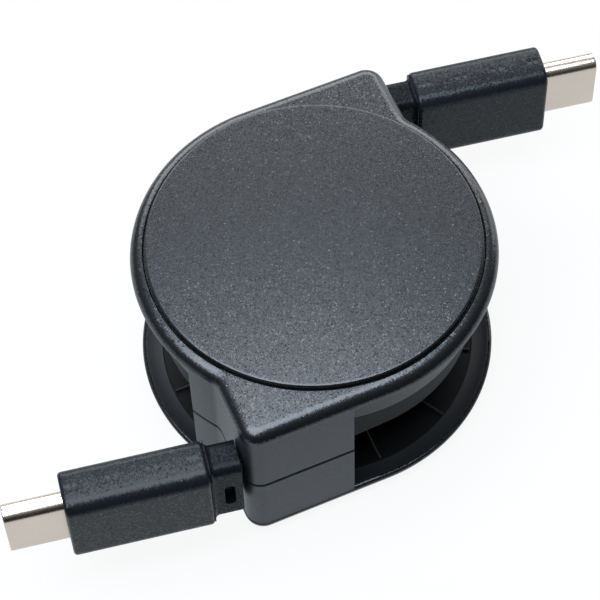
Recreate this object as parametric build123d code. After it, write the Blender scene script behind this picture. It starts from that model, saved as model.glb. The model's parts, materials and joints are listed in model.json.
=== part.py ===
from build123d import *
import os
from math import acos, atan2, cos, pi, radians, sin, sqrt

# Retractable charging cable. A round case in two twin covers holds a sprung reel of flat cable.
# Each cable end leaves by a spout block and carries a plug that pulls straight out along X.
# Millimetres. The case axis is Z, the resting face is Z = 0, and plug A points along -X.

# Case covers
case_radius = 20.75
case_height = 21.4
rim_height = 1.8
rim_rounding = 1.5
plate_thickness = 1.1
wall_thickness = 1.1
dish_margin = 0.4
dish_width = 1.95
dish_step = 0.3
dish_sag = 0.12
rib_count = 12
rib_width = 0.5
rib_height = 0.3
rib_inner_radius = 6.5
rib_outer_gap = 0.25

# Spout blocks, in a frame turned so that the cable runs along their straight side
ear_turn = 9.8
ear_setback = 3.75
ear_corner = 2.2
ear_hollow = 2.0
block_start = 4.3
block_inset = 0.08
block_end_angle = 203.6
lap_height = 0.6
lap_clearance = 0.05

# Face discs
disc_margin = 1.75
disc_raise = 0.6
disc_recess = 0.5
disc_gap = 0.15
disc_rounding = 0.2

# Arbor post and the screw that clamps the covers on it
post_radius = 2.6
post_slot = 0.5
shoulder_radius = 4.2
shoulder_height = 1.4
boss_drop = 0.65
screw_radius = 0.9
screw_length = 6.5
screw_head_radius = 1.8
screw_head_height = 0.8
screw_slot = 0.45
screw_clearance = 0.1

# Flat cable
cable_thickness = 1.0
cable_width = 4.6
cable_lift = 0.88
cable_inset = 0.75
cable_bend = 12.0
cable_seat = 3.2
cable_clearance = 0.1
slit_clearance = 0.15
slit_length = 2.65

# Reel
drum_radius = 8.1
drum_wall = 1.2
hub_radius = 4.0
running_clearance = 0.1
flange_margin = 1.6
flange_thickness = 1.3
barrel_clearance = 0.75
barrel_wall = 1.0
barrel_floor = 0.9
spigot_radius = 6.4
lid_thickness = 0.8
lid_step = 0.5
fit_clearance = 0.05

# Main spring
spring_thickness = 0.25
spring_headroom = 0.8
spring_turns = 7
spring_tail = 1.3
spring_bend = 0.8
spring_start_gap = 1.0

# Pull lock: a ball in a radial slot under a notched track
ball_radius = 1.2
ball_inset = 6.1
ball_travel = 1.1
ball_clearance = 0.1
ball_seat_depth = 0.6
track_wall = 0.9
track_gap = 0.25
notch_count = 6
pocket_wall = 1.0

# Plugs
plug_step = 0.1
grip_gap = 0.45
grip_length = 16.0
grip_width = 11.1
grip_thickness = 5.68
grip_edge = 1.4
grip_end_rounding = 0.45
neck_outset = 0.6
neck_thickness = 4.05
neck_width = 10.3
neck_edge = 1.0
neck_setback = 3.05
flare_radius = 0.55
flare_root = 0.12
flare_inset = 0.15
window_length = 1.2
window_width = 3.6
window_corner = 0.4
window_depth = 1.1
window_inset = 2.05
window_rise = 0.4
tenon_length = 3.0
tenon_thickness = 2.6
tenon_width = 8.0
shell_length = 6.65
shell_width = 8.25
shell_thickness = 2.4
shell_wall = 0.3
shell_lip = 0.2
shell_seat = 4.0
carrier_recess = 0.4
mouth_width = 6.7
mouth_thickness = 1.0
mouth_depth = 5.6
contact_count = 12
contact_pitch = 0.5
contact_width = 0.25
contact_thickness = 0.12
contact_length = 4.4
contact_recess = 0.7
board_length = 6.0
board_width = 7.4
board_thickness = 0.8

# Radii and reaches that follow from the case
dish_radius = case_radius - dish_margin
dish_floor_radius = dish_radius - dish_width
disc_radius = case_radius - disc_margin
barrel_radius = case_radius - wall_thickness - barrel_clearance
lower_flange_radius = barrel_radius - flange_margin
ball_orbit = lower_flange_radius - ball_inset
coil_outer_radius = lower_flange_radius - 2 * cable_clearance
run_radius = coil_outer_radius + cable_clearance + cable_thickness / 2
ear_reach = case_radius - ear_setback
neck_offset = case_radius + neck_outset
neck_reach = ear_reach - neck_setback
plug_offset = neck_offset + plug_step
cable_offset = neck_offset - cable_inset
grip_front = ear_reach + grip_gap + grip_length
cable_end_reach = neck_reach + cable_seat

# Heights above the resting face
mid_height = disc_raise + case_height / 2
half_height = case_height / 2
cable_height = mid_height + cable_lift
shoulder_top = disc_raise + plate_thickness + shoulder_height
boss_face = disc_raise + case_height - plate_thickness - boss_drop
reel_bottom = shoulder_top + running_clearance
reel_top = boss_face - running_clearance
coil_bottom = cable_height - cable_width / 2
coil_top = cable_height + cable_width / 2
barrel_bottom = coil_top + cable_clearance
flange_top = coil_bottom - cable_clearance
flange_bottom = flange_top - flange_thickness
ball_height = flange_bottom - ball_clearance - ball_radius
pocket_top = ball_height - ball_radius + ball_seat_depth
track_bottom = pocket_top + track_gap
spring_bottom = barrel_bottom + barrel_floor + cable_clearance
spring_width = reel_top - lid_thickness - spring_headroom - spring_bottom

half_turn = Rot(0, 0, 180)
origin = Vector(0, 0, 0)


def arc_about(centre, start, end):
    """Arc from start to end, the short way round a centre."""
    spoke = (start - centre).normalized() + (end - centre).normalized()
    middle = centre + spoke.normalized() * (start - centre).length
    return ThreePointArc(start, middle, end)


def polar(radius, angle):
    """Point at a radius and an angle in degrees."""
    return Vector(radius * cos(radians(angle)), radius * sin(radians(angle)))


def turned(*points):
    """Solid of revolution about the case axis from radius and height pairs."""
    return revolve(Plane.XZ * make_face(Polyline(*points, close=True)), Axis.Z)


def tube(outer, inner, bottom, top):
    """Ring between two radii and two heights."""
    return turned((inner, bottom), (outer, bottom), (outer, top), (inner, top))


def cylinder(radius, bottom, top, at=origin):
    """Upright cylinder between two heights."""
    return Pos(at.X, at.Y, bottom) * extrude(Circle(radius), top - bottom)


def along_x(section, start, end, offset, height):
    """Section in the YZ plane carried from one X to another."""
    return Pos(start, offset, height) * extrude(Plane.YZ * section, end - start)


def upright_strip(edges, thickness, width, height):
    """Flat strip standing on edge, its middle line following a level path."""
    path = Wire(edges)
    start = Plane(origin=path @ 0, x_dir=(0, 0, 1), z_dir=path % 0)
    return Pos(0, 0, height) * sweep(start * Rectangle(width, thickness), path=path)


# Covers

def case_outline(inset):
    """Plan of the case: a circle with two straight-sided ears, drawn in by an inset."""
    radius = case_radius - inset
    reach = ear_reach - inset
    corner = max(ear_corner - inset, wall_thickness / 2)
    hollow = ear_hollow + inset
    side = Vector(-reach + corner, -radius)
    tangent = Vector(0, -radius)
    face = Vector(-reach, -radius + corner)
    hollow_centre = Vector(-reach - hollow, -sqrt((radius + hollow) ** 2 - (reach + hollow) ** 2))
    face_end = Vector(-reach, hollow_centre.Y)
    on_circle = hollow_centre * (radius / (radius + hollow))
    half = [
        Line(tangent, side),
        arc_about(Vector(side.X, face.Y), side, face),
        Line(face, face_end),
        arc_about(hollow_centre, face_end, on_circle),
        arc_about(origin, on_circle, -tangent),
    ]
    return Rot(0, 0, ear_turn) * make_face(half + [half_turn * edge for edge in half])


def block_plan(outer, inner):
    """Plan of both spout block walls between two insets of the case outline."""
    near = case_radius / 2
    far = case_radius * 2
    stop = polar(1, block_end_angle)
    area = make_face(Polyline(
        (-block_start, -far), (-block_start, -near), stop * near, stop * far, (-far, -far), close=True))
    area = Rot(0, 0, ear_turn) * area
    ring = case_outline(outer) - case_outline(inner)
    return (ring & area) + (ring & (half_turn * area))


def cable_slits(height):
    """Openings in the two end walls that the cable ends pass through."""
    gap = 2 * slit_clearance
    section = Rectangle(cable_thickness + gap, cable_width + gap)
    slit = along_x(section, -grip_front, slit_length - neck_reach, -cable_offset, height)
    return slit + half_turn * slit


def cover_shell():
    """One cover with its outer face at height 0 and its parting face at half height."""
    cover = extrude(case_outline(0), rim_height)
    cover = fillet(cover.faces().sort_by(Axis.Z)[0].outer_wire().edges(), rim_rounding)
    step_top = plate_thickness + dish_step
    slope_middle = ((dish_floor_radius + dish_radius) / 2, (step_top + rim_height) / 2 - dish_sag)
    dish = make_face([
        Line((0, plate_thickness), (dish_floor_radius, plate_thickness)),
        Line((dish_floor_radius, plate_thickness), (dish_floor_radius, step_top)),
        ThreePointArc((dish_floor_radius, step_top), slope_middle, (dish_radius, rim_height)),
        Line((dish_radius, rim_height), (0, rim_height)),
        Line((0, rim_height), (0, plate_thickness)),
    ])
    cover -= revolve(Plane.XZ * dish, Axis.Z)
    rib_length = dish_floor_radius - rib_outer_gap - rib_inner_radius
    rib = Pos(rib_inner_radius + rib_length / 2, 0, plate_thickness + rib_height / 2) * Box(
        rib_length, rib_width, rib_height)
    for index in range(rib_count):
        cover += Rot(0, 0, ear_turn + index * 360 / rib_count) * rib
    cover += Pos(0, 0, rim_height) * extrude(block_plan(block_inset, wall_thickness), half_height - rim_height)
    return cover - cylinder(disc_radius + disc_gap, 0, disc_recess)


def lower_cover():
    """Cover with the arbor post, the reel's thrust shoulder, the ball slot and the lap tongue."""
    floor = disc_raise + plate_thickness
    tongue = extrude(block_plan(wall_thickness / 2 + lap_clearance, wall_thickness), lap_height)
    cover = cover_shell() + Pos(0, 0, half_height) * tongue - cable_slits(half_height + cable_lift)
    cover = Pos(0, 0, disc_raise) * cover
    cover += cylinder(shoulder_radius, floor, shoulder_top)
    cover += cylinder(post_radius, floor, boss_face)
    slot = Box(post_radius, post_slot, boss_face - spring_bottom)
    slot_x = spring_tail - spring_thickness + post_radius / 2
    cover -= Pos(slot_x, -spring_bend, (boss_face + spring_bottom) / 2) * slot
    cover -= cylinder(screw_radius, boss_face - screw_length, boss_face)
    return cover + ball_pocket(floor)


def ball_pocket(floor):
    """Block on the floor with the radial slot that the lock ball rolls in."""
    width = 2 * (ball_radius + ball_clearance)
    middle = ball_orbit + ball_travel / 2
    block = SlotCenterToCenter(ball_travel, width + 2 * pocket_wall)
    slot = SlotCenterToCenter(ball_travel, width)
    pocket = Pos(0, 0, floor) * extrude(block, pocket_top - floor)
    pocket -= Pos(0, 0, ball_height - ball_radius) * extrude(slot, ball_seat_depth)
    return Rot(0, 0, ear_turn) * Pos(middle, 0, 0) * pocket


def upper_cover():
    """Twin cover with the boss that sits on the post and the sunk seat for the screw head."""
    groove = extrude(block_plan(wall_thickness / 2, wall_thickness + lap_clearance), lap_height + lap_clearance)
    cover = cover_shell() - Pos(0, 0, half_height - lap_height - lap_clearance) * groove
    cover -= cable_slits(half_height - cable_lift)
    cover = mirror(Pos(0, 0, disc_raise) * cover, about=Plane.XY.offset(mid_height))
    recess = 2 * mid_height - disc_raise - disc_recess
    cover += cylinder(shoulder_radius, boss_face, recess)
    cover -= cylinder(screw_radius + screw_clearance, boss_face, recess)
    return cover - cylinder(screw_head_radius + screw_clearance, recess - screw_head_height, recess)


def face_disc():
    """Flat disc sunk in the lower cover and standing a little proud of it."""
    disc = cylinder(disc_radius, 0, disc_raise + disc_recess)
    return fillet(disc.edges().sort_by(Axis.Z)[0], disc_rounding)


def case_screw():
    """Pan screw with a driver slot, down the middle of the post."""
    top = 2 * mid_height - disc_raise - disc_recess
    seat = top - screw_head_height
    screw = cylinder(screw_head_radius, seat, top)
    screw += cylinder(screw_radius, boss_face - screw_length, seat)
    slot = Box(2 * screw_head_radius, screw_slot, screw_head_height)
    return screw - Pos(0, 0, top) * slot


# Reel

def reel_drum():
    """Drum with its bearing hub, its lower flange and the notched lock track beneath."""
    bore = post_radius + running_clearance
    drum = turned(
        (bore, reel_bottom), (hub_radius, reel_bottom), (hub_radius, flange_bottom),
        (lower_flange_radius, flange_bottom), (lower_flange_radius, flange_top), (drum_radius, flange_top),
        (drum_radius, barrel_bottom), (spigot_radius, barrel_bottom),
        (spigot_radius, barrel_bottom + barrel_floor), (spigot_radius - drum_wall, barrel_bottom + barrel_floor),
        (spigot_radius - drum_wall, flange_top), (hub_radius, flange_top), (hub_radius, coil_top),
        (bore, coil_top))
    reach = ball_radius + ball_clearance
    inner = ball_orbit - reach
    outer = ball_orbit + reach
    track = tube(outer + ball_travel + track_wall, inner - track_wall, track_bottom, flange_bottom)
    track -= tube(outer, inner, track_bottom, flange_bottom)
    for index in range(notch_count):
        at = polar(ball_orbit + ball_travel, ear_turn + index * 360 / notch_count)
        track -= cylinder(reach, track_bottom, flange_bottom, at)
    return drum + track


def spring_barrel():
    """Upper flange of the reel, a deep cup that holds the main spring."""
    inner = barrel_radius - barrel_wall
    lid_seat = reel_top - lid_thickness
    bore = spigot_radius + fit_clearance
    floor_top = barrel_bottom + barrel_floor
    return turned(
        (bore, barrel_bottom), (barrel_radius, barrel_bottom), (barrel_radius, reel_top),
        (inner + lid_step, reel_top), (inner + lid_step, lid_seat), (inner, lid_seat), (inner, floor_top),
        (bore, floor_top))


def barrel_lid():
    """Washer that closes the barrel and runs on the top of the post."""
    edge = barrel_radius - barrel_wall + lid_step - fit_clearance
    return tube(edge, post_radius + running_clearance, reel_top - lid_thickness, reel_top)


def spring_route():
    """Middle line of the clock spring: a tail in the post's slot, then half turns about two centres."""
    first = post_radius + spring_start_gap
    last = barrel_radius - barrel_wall - spring_thickness
    shift = (last - first) / (2 * spring_turns)
    bend_centre = Vector(first - spring_bend, 0)
    bend_start = bend_centre - Vector(0, spring_bend)
    edges = [
        Line((spring_tail, -spring_bend), bend_start),
        arc_about(bend_centre, bend_start, Vector(first, 0)),
    ]
    for index in range(2 * spring_turns):
        radius = first + index * shift
        centre = Vector(shift * (index % 2), 0)
        side = 1 if index % 2 == 0 else -1
        edges.append(ThreePointArc(
            centre + Vector(side * radius, 0), centre + Vector(0, side * radius), centre - Vector(side * radius, 0)))
    return edges


# Cable

def cable_route():
    """Plan of cable A: half a turn on the coil, a straight run, a gentle bend and the neck."""
    bend_start = neck_reach - cable_thickness
    bend_centre = Vector(-bend_start, cable_bend - cable_offset)
    lean = acos((run_radius - cable_bend) / bend_centre.length)
    leave_angle = atan2(bend_centre.Y, bend_centre.X) + lean
    outward = Vector(cos(leave_angle), sin(leave_angle))
    leave = outward * run_radius
    join = bend_centre + outward * cable_bend
    bend_end = Vector(-bend_start, -cable_offset)
    other_run = run_radius + cable_thickness + 2 * cable_clearance
    wrap = pi - acos(run_radius / other_run)
    first = Vector(cos(leave_angle + wrap), sin(leave_angle + wrap)) * run_radius
    middle = Vector(cos(leave_angle + wrap / 2), sin(leave_angle + wrap / 2)) * run_radius
    return [
        ThreePointArc(first, middle, leave),
        Line(leave, join),
        arc_about(bend_centre, join, bend_end),
        Line(bend_end, Vector(-cable_end_reach, -cable_offset)),
    ]


# Plugs

def plug_pieces():
    """The six pieces of plug A, which points along -X, a little above the parting face."""
    axis = {"offset": -plug_offset, "height": cable_height}
    neck_axis = {"offset": -neck_offset, "height": cable_height}
    rear = grip_front - grip_length
    return {
        "plug_grip": plug_grip(axis, neck_axis, rear),
        "strain_relief": strain_relief(axis, neck_axis, rear),
        "connector_shell": connector_shell(axis),
        "contact_carrier": contact_carrier(axis),
        "contacts": contacts(axis),
        "paddle_board": paddle_board(axis),
    }


def stadium(inset):
    """Connector section, drawn in by an inset."""
    width = shell_width - 2 * inset
    return Rot(0, 0, 90) * SlotOverall(width, shell_thickness - 2 * inset)


def grip_section(inset):
    """Rounded section of the grip, drawn in by an inset."""
    return RectangleRounded(grip_thickness - 2 * inset, grip_width - 2 * inset, grip_edge - inset)


def plug_grip(axis, neck_axis, rear):
    """Rounded grip, hollow for the connector, its board and the strain relief's tenon."""
    grip = along_x(grip_section(0), -grip_front, -rear, **axis)
    grip = fillet(grip.faces().filter_by(Axis.X).edges(), grip_end_rounding)
    seat = grip_front - shell_seat
    grip -= along_x(stadium(0), -grip_front, -seat, **axis)
    grip -= along_x(Rectangle(board_thickness, board_width), -seat, board_length - seat, **axis)
    return grip - along_x(Rectangle(tenon_thickness, tenon_width), -rear - tenon_length, -rear, **neck_axis)


def strain_relief(axis, neck_axis, rear):
    """Flexible neck, flared where it leaves the grip, with bend windows and a slot for the flat cable."""
    spread = flare_root + flare_radius
    root = RectangleRounded(neck_thickness + 2 * spread, neck_width + 2 * spread, neck_edge + spread)
    neck = along_x(RectangleRounded(neck_thickness, neck_width, neck_edge), -rear, -neck_reach, **neck_axis)
    neck += along_x(root, -rear, flare_root - rear, **neck_axis)
    inner_corner = neck.edges().filter_by_position(Axis.X, flare_root - rear, flare_root - rear)
    neck = fillet(inner_corner.filter_by(is_neck_edge), flare_radius)
    neck &= along_x(grip_section(flare_inset), -rear, -neck_reach, **axis)
    neck += along_x(Rectangle(tenon_thickness, tenon_width), -rear - tenon_length, -rear, **neck_axis)
    window = RectangleRounded(window_length, window_width, window_corner)
    for side in (-1, 1):
        face = side * neck_thickness / 2 - neck_offset
        place = Pos(window_inset - rear, face, cable_height + side * window_rise)
        neck -= place * extrude(Plane.XZ * window, window_depth, both=True)
    slot = Rectangle(cable_thickness + 2 * cable_clearance, cable_width + 2 * cable_clearance)
    return neck - along_x(slot, -cable_end_reach - cable_clearance, -neck_reach, -cable_offset, cable_height)


def is_neck_edge(edge):
    """Whether an edge of the flare's inner corner lies on the neck's own section."""
    point = edge @ 0.5
    reach_y = abs(point.Y + neck_offset) - neck_thickness / 2
    reach_z = abs(point.Z - cable_height) - neck_width / 2
    return max(reach_y, reach_z) < flare_root


def connector_shell(axis):
    """Drawn metal shell, rounded at its lip and seated in the grip."""
    tip = grip_front + shell_length
    shell = along_x(stadium(0), -tip, shell_seat - grip_front, **axis)
    shell = fillet(shell.faces().sort_by(Axis.X)[0].edges(), shell_lip)
    return shell - along_x(stadium(shell_wall), -tip, shell_seat - grip_front, **axis)


def contact_carrier(axis):
    """Insulator inside the shell, with the mouth that takes the socket's tongue."""
    front = grip_front + shell_length - carrier_recess
    carrier = along_x(stadium(shell_wall), -front, shell_seat - grip_front, **axis)
    return carrier - along_x(Rectangle(mouth_thickness, mouth_width), -front, mouth_depth - front, **axis)


def contacts(axis):
    """Two rows of spring contacts on the walls of the mouth."""
    front = grip_front + shell_length - carrier_recess - contact_recess
    row = []
    for index in range(contact_count):
        rise = (index - (contact_count - 1) / 2) * contact_pitch
        for side in (-1, 1):
            lift = side * (mouth_thickness - contact_thickness) / 2
            place = Pos(contact_length / 2 - front, axis["offset"] + lift, axis["height"] + rise)
            row.append(place * Box(contact_length, contact_thickness, contact_width))
    return Compound(children=row)


def paddle_board(axis):
    """Small circuit board that joins the cable to the connector."""
    seat = grip_front - shell_seat
    return along_x(Rectangle(board_thickness, board_width), -seat, board_length - seat, **axis)


# Assembly

def build_parts():
    """Every piece of the cable by name, at its place."""
    disc = face_disc()
    coil = tube(coil_outer_radius, drum_radius + fit_clearance, coil_bottom, coil_top)
    ball_at = polar(ball_orbit, ear_turn)
    run = upright_strip(cable_route(), cable_thickness, cable_width, cable_height)
    spring = upright_strip(spring_route(), spring_thickness, spring_width, spring_bottom + spring_width / 2)
    pieces = {
        "lower_cover": lower_cover(),
        "upper_cover": upper_cover(),
        "lower_disc": disc,
        "upper_disc": mirror(disc, about=Plane.XY.offset(mid_height)),
        "case_screw": case_screw(),
        "reel_drum": reel_drum(),
        "spring_barrel": spring_barrel(),
        "barrel_lid": barrel_lid(),
        "main_spring": spring,
        "cable_coil": coil,
        "lock_ball": Pos(ball_at.X, ball_at.Y, ball_height) * Sphere(ball_radius),
        "cable_run_a": run,
        "cable_run_b": half_turn * run,
    }
    for name, piece in plug_pieces().items():
        pieces[name + "_a"] = piece
        pieces[name + "_b"] = half_turn * piece
    return pieces


os.makedirs("parts", exist_ok=True)
for node, piece in build_parts().items():
    export_step(piece, f"parts/{node}.step")
    print(node, round(piece.volume, 2))
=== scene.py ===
# %% [markdown]
# # A retractable charging cable
# A round charcoal case holds a sprung reel of flat cable, and a plug pulls out at each side.
# The CAD frame gives the size and the motion. This script gives every piece its skin and its finish.
# It works in millimetres and turns them into metres only when a mesh is made.

import json
import math

import bpy
import numpy as np
from mathutils import Matrix, Vector


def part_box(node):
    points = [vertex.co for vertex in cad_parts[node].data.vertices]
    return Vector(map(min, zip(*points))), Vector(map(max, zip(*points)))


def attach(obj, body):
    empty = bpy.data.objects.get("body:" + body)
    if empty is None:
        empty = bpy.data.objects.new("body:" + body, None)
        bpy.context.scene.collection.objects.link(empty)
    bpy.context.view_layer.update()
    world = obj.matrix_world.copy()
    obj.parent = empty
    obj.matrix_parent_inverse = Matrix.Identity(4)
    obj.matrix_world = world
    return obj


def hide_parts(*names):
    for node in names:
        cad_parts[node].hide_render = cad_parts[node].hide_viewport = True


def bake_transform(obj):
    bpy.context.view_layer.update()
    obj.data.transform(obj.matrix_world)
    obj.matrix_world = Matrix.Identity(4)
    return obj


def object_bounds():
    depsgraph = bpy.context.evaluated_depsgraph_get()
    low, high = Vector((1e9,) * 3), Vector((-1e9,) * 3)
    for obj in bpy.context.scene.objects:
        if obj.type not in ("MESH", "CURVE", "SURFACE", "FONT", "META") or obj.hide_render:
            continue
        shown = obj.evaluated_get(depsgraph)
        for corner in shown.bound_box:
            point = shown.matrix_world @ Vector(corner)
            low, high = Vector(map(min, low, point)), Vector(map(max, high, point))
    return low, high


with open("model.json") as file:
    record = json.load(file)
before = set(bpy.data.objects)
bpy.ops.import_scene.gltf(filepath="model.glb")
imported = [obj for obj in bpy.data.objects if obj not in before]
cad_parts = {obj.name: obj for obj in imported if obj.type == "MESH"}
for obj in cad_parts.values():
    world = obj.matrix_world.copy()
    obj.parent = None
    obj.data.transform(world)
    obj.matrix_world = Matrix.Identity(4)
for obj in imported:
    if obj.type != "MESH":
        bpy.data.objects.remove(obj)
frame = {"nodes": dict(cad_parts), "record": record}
CAD_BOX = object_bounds()
MM = 0.001

# %% [markdown]
# ## Sizes
# Most sizes are read from the boxes of the CAD nodes, so that a skin sits where its solid is. The few
# that a box can't give, such as a rounding, are named here with the value that the real piece has.

# %% Sizes read from the frame


def span(node):
    """Lowest and highest corner of a CAD node, in millimetres."""
    low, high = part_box(node)
    return np.array(low) / MM, np.array(high) / MM


MID_HEIGHT = float((CAD_BOX[0].z + CAD_BOX[1].z) / 2 / MM)
CASE_BOTTOM = span("lower_cover")[0][2]
CASE_TOP = span("upper_cover")[1][2]
HALF_HEIGHT = (CASE_TOP - CASE_BOTTOM) / 2
CABLE_HEIGHT = sum(span("plug_grip_a"))[2] / 2
DISC_RADIUS = span("upper_disc")[1][0]
DISC_RECESS = CASE_TOP - span("upper_disc")[0][2]
BARREL_RADIUS = span("spring_barrel")[1][0]
COIL_RADIUS = span("cable_coil")[1][0]
print("case", round(CASE_BOTTOM, 2), "to", round(CASE_TOP, 2), "mm, disc radius", round(DISC_RADIUS, 2))

# %% Sizes of the case
CASE_RADIUS = 20.75
EAR_TURN = math.radians(9.8)
EAR_REACH = 17.0
EAR_CORNER = 2.2
EAR_HOLLOW = 2.0
RIM_HEIGHT = 1.8
RIM_ROUNDING = 1.5
PLATE = 1.1
WALL_OUTER = 0.08
WALL_INNER = 1.1
DISH_RADIUS = 20.35
FLOOR_RADIUS = 18.4
DISH_STEP = 0.3
DISH_SAG = 0.12
DISH_ROWS = 9
DISC_GAP = 0.15
EDGE = 0.08
LIP = 0.45
print("case radius", CASE_RADIUS, "mm, ears turned", round(math.degrees(EAR_TURN), 1), "degrees")

# %% [markdown]
# ## From arrays to meshes
# Nearly every piece is a stack of rings: a closed line, repeated with other sizes and places, whose
# neighbours are joined cell by cell. One helper makes the cells and one puts the arrays into a mesh,
# so that a piece is only a question of where its rings lie.

# %% Ring stacks


def cells(rows, columns, wrap):
    """Corners of every cell of a grid whose columns run right round: cell (i, j) joins points j and
    j + 1 of row i to the same points of row i + 1. With wrap the last row joins the first."""
    row = np.arange(rows if wrap else rows - 1)[:, None]
    column = np.arange(columns)[None, :]
    after = (column + 1) % columns
    below = (row + 1) % rows
    upper, lower = row * columns, below * columns
    return np.stack([upper + column, upper + after, lower + after, lower + column], axis=-1).reshape(-1, 4)


def ring_skin(rings, wrap=False):
    """Closed skin over rings given as an array (ring, point, xyz). An open stack ends in two flat
    faces. The tetrahedra from the origin to the faces add up to the volume, and where that comes out
    negative the faces are turned round, so that they always point outwards."""
    rings = np.asarray(rings, float)
    count, around = rings.shape[:2]
    points = rings.reshape(-1, 3)
    quads = cells(count, around, wrap)
    first = np.arange(around)
    ends = [] if wrap else [first[::-1], first + (count - 1) * around]
    corner = [points[quads[:, k]] for k in range(4)]
    volume = sum(np.einsum("ij,ij->", corner[0], np.cross(corner[k], corner[k + 1])) for k in (1, 2))
    for end in ends:
        rim = points[end]
        volume += np.einsum("j,ij->", rim[0], np.cross(rim[1:-1], rim[2:]))
    if volume < 0:
        quads = quads[:, ::-1]
        ends = [end[::-1] for end in ends]
    return points, quads, ends


def moved(skin, change):
    """A skin whose points are changed by a function that keeps its hand, such as a turn."""
    points, quads, ends = skin
    return change(points), quads, ends


def as_is(points):
    """Points left where they are, as on side A."""
    return points


def half_turn(points):
    """Points turned half a turn about the case axis, which takes side A to side B."""
    return points * np.array([-1.0, -1.0, 1.0])


SIDES = (("a", as_is), ("b", half_turn))
print("a cell grid of 3 by 4 has", len(cells(3, 4, False)), "faces")

# %% Meshes
SHARP_TURN = math.radians(35)


def mesh_piece(name, skins, finishes):
    """One object at the origin from several closed skins. finishes gives each skin's material, and
    edges that turn by more than SHARP_TURN stay sharp."""
    points, faces, use, start = [], [], [], 0
    materials = list(dict.fromkeys(finishes))
    for (skin_points, quads, ends), material in zip(skins, finishes):
        points.append(skin_points)
        faces += (quads + start).tolist() + [(end + start).tolist() for end in ends]
        use += [materials.index(material)] * (len(quads) + len(ends))
        start += len(skin_points)
    mesh = bpy.data.meshes.new(name)
    mesh.from_pydata(np.concatenate(points) * MM, [], faces)
    for material in materials:
        mesh.materials.append(material)
    mesh.polygons.foreach_set("material_index", np.array(use, np.int32))
    mesh.polygons.foreach_set("use_smooth", np.ones(len(faces), bool))
    mesh.set_sharp_from_angle(angle=SHARP_TURN)
    mesh.update()
    piece = bpy.data.objects.new(name, mesh)
    bpy.context.scene.collection.objects.link(piece)
    return piece


def settle(piece, body, slot, *nodes):
    """The piece rides on a body and stands for the named CAD nodes, which are hidden; slot is not used."""
    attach(piece, body)
    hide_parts(*nodes)
    print(piece.name, len(piece.data.polygons), "faces on", body)


print("edges stay sharp above", round(math.degrees(SHARP_TURN)), "degrees")

# %% [markdown]
# ## Plans and sections
# A ring needs a line to follow. Lines here are arcs and straight runs: the plan of the case, rounded
# rectangles for the plugs and the cable, and turned profiles for what is round.

# %% Arcs and rounded lines
BRIDGE_STEPS = 4
SUPPORT_REACH = 1.4
ROUND_POINTS = 256


def arc(centre, radius, start, end, count, closed=False):
    """Points at evenly spaced angles from start to end, in radians, round a centre."""
    angle = np.linspace(start, end, count, endpoint=closed)
    return np.asarray(centre) + radius * np.stack([np.cos(angle), np.sin(angle)], axis=-1)


def run(start, end, count, closed=False):
    """Evenly spaced points of a straight line."""
    share = np.linspace(0, 1, count, endpoint=closed)[:, None]
    return np.asarray(start) * (1 - share) + np.asarray(end) * share


def softened(corners, radius):
    """A closed line through corners, each cut back by about radius and bridged by a parabola: start and
    end of the bridge lie on the two runs and its middle is pulled towards the corner. One more point on
    each run, a little further out, keeps the flats flat when they are shaded smooth."""
    corners = np.asarray(corners, float)
    before = np.roll(corners, 1, axis=0) - corners
    after = np.roll(corners, -1, axis=0) - corners
    reach = [np.linalg.norm(v, axis=1, keepdims=True) for v in (before, after)]
    cut = np.minimum(radius, np.minimum(*reach) / 3)
    start, end = before / reach[0] * cut, after / reach[1] * cut
    share = np.linspace(0, 1, BRIDGE_STEPS + 1)[None, :, None]
    bridge = (1 - share) ** 2 * start[:, None] + share**2 * end[:, None]
    bridge = np.concatenate([SUPPORT_REACH * start[:, None], bridge, SUPPORT_REACH * end[:, None]], axis=1)
    return (corners[:, None] + bridge).reshape(-1, 2)


def lathe(profile, wrap=True):
    """Skin of revolution about the case axis: each (radius, height) pair of the profile becomes a ring."""
    angle = np.linspace(0, 2 * np.pi, ROUND_POINTS, endpoint=False)
    radius, height = np.asarray(profile, float).T
    x = radius[:, None] * np.cos(angle)
    y = radius[:, None] * np.sin(angle)
    return ring_skin(np.stack([x, y, np.broadcast_to(height[:, None], x.shape)], axis=-1), wrap)


print("a softened square has", len(softened([(0, 0), (1, 0), (1, 1), (0, 1)], 0.1)), "points")

# %% Plan of the case
SIDE_STEPS, CORNER_STEPS, FACE_STEPS, HOLLOW_STEPS, BACK_STEPS = 26, 16, 14, 14, 96


def turn(plan, angle):
    """Plan points turned about the case axis."""
    c, s = math.cos(angle), math.sin(angle)
    return plan @ np.array([[c, s], [-s, c]])


def half_outline(inset, start=0.0, stop=math.pi / 2, detail=1, back=BACK_STEPS):
    """Half the plan of the case, drawn in by an inset: the straight side of an ear, its corner, its end
    face, the hollow beside it and the round back as far as the angle stop."""
    radius, reach, hollow = CASE_RADIUS - inset, EAR_REACH - inset, EAR_HOLLOW + inset
    corner = max(EAR_CORNER - inset, EDGE)
    hollow_y = -math.sqrt((radius + hollow) ** 2 - (reach + hollow) ** 2)
    lean = math.atan2(-hollow_y, reach + hollow)
    turn_x, turn_y = -reach + corner, -radius + corner
    plan = np.concatenate([
        run((-start, -radius), (turn_x, -radius), SIDE_STEPS * detail),
        arc((turn_x, turn_y), corner, -math.pi / 2, -math.pi, CORNER_STEPS * detail),
        run((-reach, turn_y), (-reach, hollow_y), FACE_STEPS * detail),
        arc((-reach - hollow, hollow_y), hollow, 0, lean, HOLLOW_STEPS * detail),
        arc((0, 0), radius, math.pi + lean, stop, back * detail),
    ])
    return turn(plan, EAR_TURN)


def case_outline(inset):
    """The whole plan of the case: half of it and the same half turned half a turn."""
    half = half_outline(inset)
    return np.concatenate([half, -half])


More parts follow.
